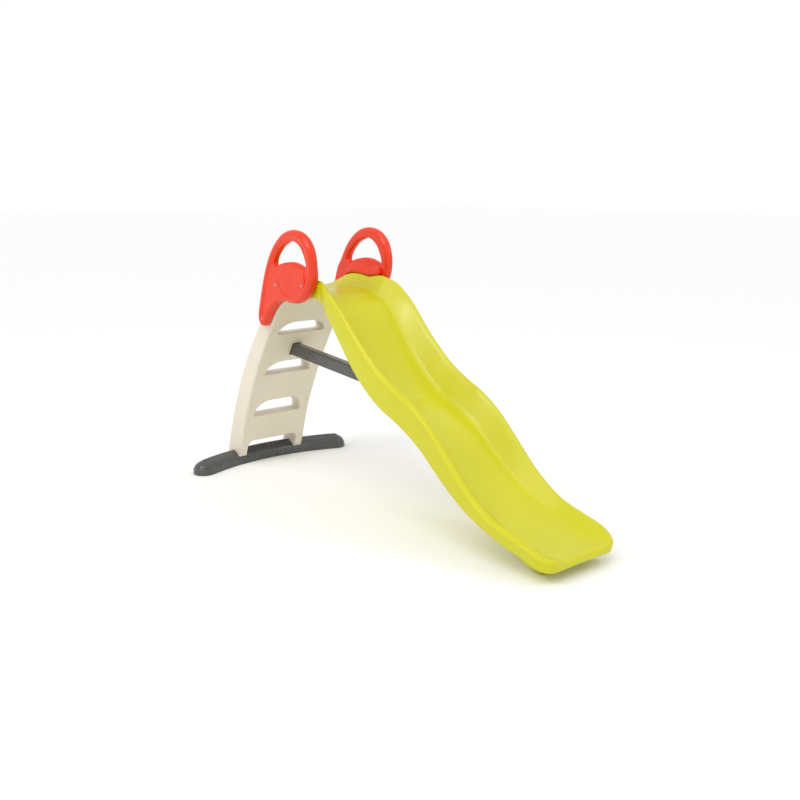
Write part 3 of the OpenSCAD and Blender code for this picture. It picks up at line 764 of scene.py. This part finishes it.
def handle(side, name, node):
    o = smooth_loop(resample(catmull(OUTER, 12), 3.0), 4)
    h = smooth_loop(resample(catmull(HOLE, 12), 2.6), 3)
    extra = []
    for cx, cz in PADS + [LEG]:
        for r, n in ((0.0, 1), (3.5, 10), (6.0, 20), (6.9, 26), (7.4, 26), (8.6, 26), (10.5, 26)):
            a = np.linspace(0, 2 * math.pi, n, endpoint=False)
            extra.append(np.column_stack([cx + r * np.cos(a), cz + r * np.sin(a)]))
    for k in (0.90, 0.935, 0.95, 0.965, 0.98, 0.99, 0.998, 1.006, 1.02, 1.035, 1.05, 1.065, 1.08, 1.10, 1.13, 1.17):
        a = np.linspace(0, 2 * math.pi, 150, endpoint=False)
        e = np.column_stack([699 + 102 * k * np.cos(a), 1020 + 77 * k * np.sin(a)])
        near = np.min([np.hypot(e[:, 0] - p[0], e[:, 1] - p[1]) for p in PADS], 0)
        extra.append(e[near > 12.5])
    rg = [0.5, 1.5, 3.2, 5.6, 8.6, 12.0, 15.5, 19.5, 24.0, 29.0, 33.5, 37.0, 39.0, 41.0, 44.0]
    V2, T2, idx, D = slab([o, h], rg, 5.0, np.vstack(extra))
    X, Z = V2[:, 0], V2[:, 1]
    do, dh = D
    # a round tube along the outline, a flat plate sunk 7 mm inside it, and a round pad
    half_t = 23.0
    tube = half_t - np.sqrt(np.maximum(half_t**2 - (half_t - np.minimum(do, 2 * half_t))**2, 0))
    fh = edge_round(dh, 20.0)
    plate = 7.0
    ell = np.hypot((X - 699) / 102.0, (Z - 1020) / 77.0)
    dm = (1 - ell) * 86.0                               # about mm inside the pad's edge
    pad = np.where(dm > 0, 1.2 + edge_round(np.clip(dm, 0, 60), 5.0), plate)
    pad = pad + 2.2 * (1 - smoothstep(0.0, 0.80, ell))  # the pad is slightly dished
    ditch = 4.0 * np.exp(-((dm + 5.0) / 4.2)**2) * (1 - smoothstep(1000, 1050, Z))
    inner = np.minimum(tube, plate) + ditch * smoothstep(22, 34, do)
    inner = np.where(dm > 0, np.minimum(inner, pad), inner)
    relief = np.where(do < half_t, np.where(dm > 0, np.minimum(tube, pad), tube), inner)
    relief = np.maximum(relief, np.minimum(fh, 20.0))
    relief = np.maximum(relief, edge_round(do, 21.0))
    seat = np.zeros(len(X))
    for cx, cz in PADS + [LEG]:
        seat = np.maximum(seat, 1 - smoothstep(6.9, 7.4, np.hypot(X - cx, Z - cz)))
    y_out = HY + HT - relief
    y_out = np.where(seat > 0, np.minimum(y_out, y_out * (1 - seat) + (HY + HT - 7.3) * seat), y_out)
    # inner face: flat where it bears on the ladder and the chute, rounded on the loop
    free = smoothstep(1040, 1100, Z)
    ri = np.maximum(edge_round(do, 6.0) * (1 - free) + edge_round(do, 21.0) * free,
                    edge_round(dh, 18.0))
    y_in = HY + ri + 4.0 * smoothstep(24, 60, do) * smoothstep(4, 40, dh) * smoothstep(1040, 1075, Z)
    y_out = np.maximum(y_out, y_in + 2)
    top = np.column_stack([X, side * y_out, Z])
    bot = np.column_stack([X, side * y_in, Z])
    V, F = two_sided(V2, T2, idx, top, bot)
    ob = mesh_object(name, V, F, RED, "red_plastic", [node])
    fix_normals(ob)
    # lip that folds over the top of the chute wall
    low = [[x, float(RIM(x)) + 1.5] for x in np.arange(556, 816, 6.0)]
    P = np.array(low + [[822, 1038], [814, 1054], [794, 1066], [764, 1077], [722, 1087],
                        [671, 1090], [621, 1080], [586, 1063], [556, 1032]])
    lp = smooth_loop(resample(P, 2.6), 2)
    V3, T3, id3, D3 = slab([lp], [0.5, 1.4, 2.8, 4.6, 7.0, 10.0, 13.5], 5.0)
    r_in = edge_round(D3[0], 9.0)
    up = np.clip((V3[:, 1] - RIM(V3[:, 0]) - 1.5) / 58.0, 0, 1)
    # the face sweeps back from the lip at the bottom to the loop at the top
    y1 = HY - 22 + np.maximum(r_in * (1 - 0.55 * up), 17.0 * smoothstep(0.12, 1.0, up))
    y2 = np.full(len(y1), HY + 6.0)
    V, F = two_sided(V3, T3, id3, np.column_stack([V3[:, 0], side * y2, V3[:, 1]]),
                     np.column_stack([V3[:, 0], side * np.minimum(y1, HY + 4), V3[:, 1]]))
    lip = mesh_object(name + "_lip", V, F, RED, None, None)
    fix_normals(lip)
    ob = boolean(ob, lip, "UNION")
    for cx, cz in PADS + [LEG]:
        ob = boolean(ob, drill(cx, side * (HY - 40), side * (HY + HT + 20), cz, 3.15), "DIFFERENCE")
    sharpen(ob, 42)
    finish_piece(ob, "red_plastic", node)
    return ob


handle(-1, "handle_right_loop", "handle_right")
handle(1, "handle_left_loop", "handle_left")

# ---------------------------------------------------------------- base bar
BW, BH, BR = 115.0, 72.0, 1035.0
RC, CX = BR + BW / 2, BW + BR
ANG = math.asin((475 - BW / 2) / RC)


def base_profile(n=5):
    b, h = BW / 2, BH
    # an upright skirt, a narrow step, then the crown
    half = [[b, 8], [b - 0.8, 22], [b - 1.6, 28], [b - 4.2, 30.4], [b - 6.0, 32.6],
            [b - 8.0, 39], [b - 12, 45], [b - 18, 50.5], [b - 28, 58],
            [b - 42, 68 * h / 75], [4, h]]
    pts = half + [[0, h + 0.0]]
    c = catmull(pts, n, closed=False)
    foot = [[b - 3.0, 0.0], [b - 0.9, 0.9], [b, 3.0]]
    return np.vstack([foot, c])     # from the outer foot up to the middle


prof = base_profile()
npf = len(prof)
cols = []
end = []
# far end: half revolve from the outer side to the inner side, then along the arc, then the other end


def bar_point(theta, rho, z):
    """A point of the bar at plan angle theta from the middle, rho from its centre line."""
    return [CX - (RC + rho) * math.cos(theta), (RC + rho) * math.sin(theta), z]


verts, faces = [], []


def add(p):
    verts.append(p)
    return len(verts) - 1


steps = 150
arcs = []
for k in range(steps + 1):
    th = -ANG + 2 * ANG * k / steps
    col = [add(bar_point(th, -r, z)) for r, z in prof]            # one side: foot -> crown
    col += [add(bar_point(th, r, z)) for r, z in prof[-2::-1]]    # crown -> other foot
    arcs.append(col)
for a, b in zip(arcs[:-1], arcs[1:]):
    for i in range(len(a) - 1):
        faces.append((a[i], a[i + 1], b[i + 1], b[i]))
    faces.append((a[-1], a[0], b[0], b[-1]))                      # underside strip
for sgn, base_col in ((-1, arcs[0]), (1, arcs[-1])):
    th = sgn * ANG
    c = np.array(bar_point(th, 0, 0))
    rad = np.array([-math.cos(th), math.sin(th), 0])              # +rho direction
    tan = np.array([math.sin(th), math.cos(th), 0]) * sgn         # out along the bar
    m = 40
    fans = []
    for k in range(m + 1):
        a = math.pi * k / m
        d = rad * math.cos(a) + tan * math.sin(a)
        if k == 0:
            fans.append(base_col[npf - 1:][::-1])                 # +rho foot -> crown
        elif k == m:
            fans.append(base_col[:npf])                           # -rho foot -> crown
        else:
            col = [add(list(c + d * r + np.array([0, 0, z]))) for r, z in prof[:-1]]
            fans.append(col + [base_col[npf - 1]])
    for a, b in zip(fans[:-1], fans[1:]):
        for i in range(npf - 1):
            q = list(dict.fromkeys([a[i], b[i], b[i + 1], a[i + 1]]))
            if len(q) > 2:
                faces.append(tuple(q))
    faces.append(tuple(f[0] for f in fans))                       # underside of the end
bar = mesh_object("base_bar_shell", np.array(verts), faces, DARK, "dark_plastic", ["base_bar"])
fix_normals(bar)
for s in (-1, 1):
    for x in (57.0, 87.0):
        a = np.linspace(0, 2 * math.pi, 48, endpoint=False)
        sec = [np.column_stack([x + 11 * np.cos(a), s * 174 + 11 * np.sin(a), np.full(48, z)])
               for z in (-3.0, 12.0)]
        bar = boolean(bar, loft(sec, "cb_tmp", None), "DIFFERENCE")
sharpen(bar, 50)
finish_piece(bar, "dark_plastic", "base_bar")

# ---------------------------------------------------------------- hardware
for n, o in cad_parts.items():
    if n in ("chute", "ladder", "strut", "base_bar", "handle_left", "handle_right"):
        continue
    o.data.materials.clear()
    o.data.materials.append(BRASS if "insert" in n else ZINC)
    sharpen(o, 30)

# ------------------------------------------------------------------ studio
fm = bpy.data.materials.new("floor_paint")
fm.use_nodes = True
fb = fm.node_tree.nodes["Principled BSDF"]
nz = fm.node_tree.nodes.new("ShaderNodeTexNoise")
nz.inputs["Scale"].default_value = 3
cr = fm.node_tree.nodes.new("ShaderNodeValToRGB")
cr.color_ramp.elements[0].color = (0.93, 0.93, 0.93, 1)
cr.color_ramp.elements[1].color = (0.95, 0.95, 0.95, 1)
fm.node_tree.links.new(nz.outputs["Fac"], cr.inputs["Fac"])
fm.node_tree.links.new(cr.outputs["Color"], fb.inputs["Base Color"])
fb.inputs["Roughness"].default_value = 0.9
fb.inputs["Specular IOR Level"].default_value = 0.1
me = bpy.data.meshes.new("floor")
S = 40.0
me.from_pydata([(-S, -S, 0), (S, -S, 0), (S, S, 0), (-S, S, 0)], [], [(0, 1, 2, 3)])
floor = bpy.data.objects.new("floor", me)
bpy.context.scene.collection.objects.link(floor)
me.materials.append(fm)

world = bpy.data.worlds.new("studio")
world.use_nodes = True
world.node_tree.nodes["Background"].inputs[0].default_value = (1, 1, 1, 1)
world.node_tree.nodes["Background"].inputs[1].default_value = 0.80
wt = world.node_tree
bright = wt.nodes.new("ShaderNodeBackground")
bright.inputs[0].default_value = (1, 1, 1, 1)
bright.inputs[1].default_value = 1.0
lp = wt.nodes.new("ShaderNodeLightPath")
wm = wt.nodes.new("ShaderNodeMixShader")
wt.links.new(lp.outputs["Is Camera Ray"], wm.inputs[0])
wt.links.new(wt.nodes["Background"].outputs[0], wm.inputs[1])
wt.links.new(bright.outputs[0], wm.inputs[2])
wt.links.new(wm.outputs[0], wt.nodes["World Output"].inputs[0])
bpy.context.scene.world = world
bpy.context.scene.view_settings.view_transform = "Standard"

sd = bpy.data.lights.new("sky_key", "SUN")
sd.energy = 0.95
sd.angle = math.radians(50)
sun = bpy.data.objects.new("sky_key", sd)
bpy.context.scene.collection.objects.link(sun)
sun.rotation_euler = (-Vector((0.24, -0.52, 0.82))).to_track_quat("-Z", "Y").to_euler()


def area_light(name, loc, target, size, power, color=(1, 1, 1)):
    ld = bpy.data.lights.new(name, "AREA")
    ld.shape = "RECTANGLE"
    ld.size, ld.size_y = size
    ld.energy = power
    ld.color = color
    ob = bpy.data.objects.new(name, ld)
    bpy.context.scene.collection.objects.link(ob)
    ob.location = loc
    d = Vector(target) - Vector(loc)
    ob.rotation_euler = d.to_track_quat("-Z", "Y").to_euler()
    return ob


area_light("key", (-0.6, -4.0, 3.6), (0.1, 0, 0.5), (1.1, 0.35), 34)
area_light("strip", (3.2, 1.9, 3.0), (0.3, 0, 0.5), (0.30, 1.6), 18)
area_light("back_strip", (0.2, 2.9, 3.6), (0.5, 0, 0.3), (3.0, 0.30), 5)

# ------------------------------------------------------------------ camera
az, el, roll = math.radians(49.024), math.radians(12.529), math.radians(0.226)
back = Vector((math.sin(az) * math.cos(el), -math.cos(az) * math.cos(el), math.sin(el)))
right = Vector((math.cos(az), math.sin(az), 0))
up = back.cross(right)
r2 = right * math.cos(roll) + up * math.sin(roll)
u2 = -right * math.sin(roll) + up * math.cos(roll)
cam_data = bpy.data.cameras.new("camera")
cam_data.sensor_width = 36.0
cam_data.lens = 987.0 / 800.0 * 36.0
cam_data.clip_end = 200
cam = bpy.data.objects.new("camera", cam_data)
bpy.context.scene.collection.objects.link(cam)
M = Matrix((( r2.x, u2.x, back.x, 3.342), (r2.y, u2.y, back.y, -2.855),
            (r2.z, u2.z, back.z, 1.471), (0, 0, 0, 1)))
cam.matrix_world = M
bpy.context.scene.camera = cam

bpy.context.view_layer.update()
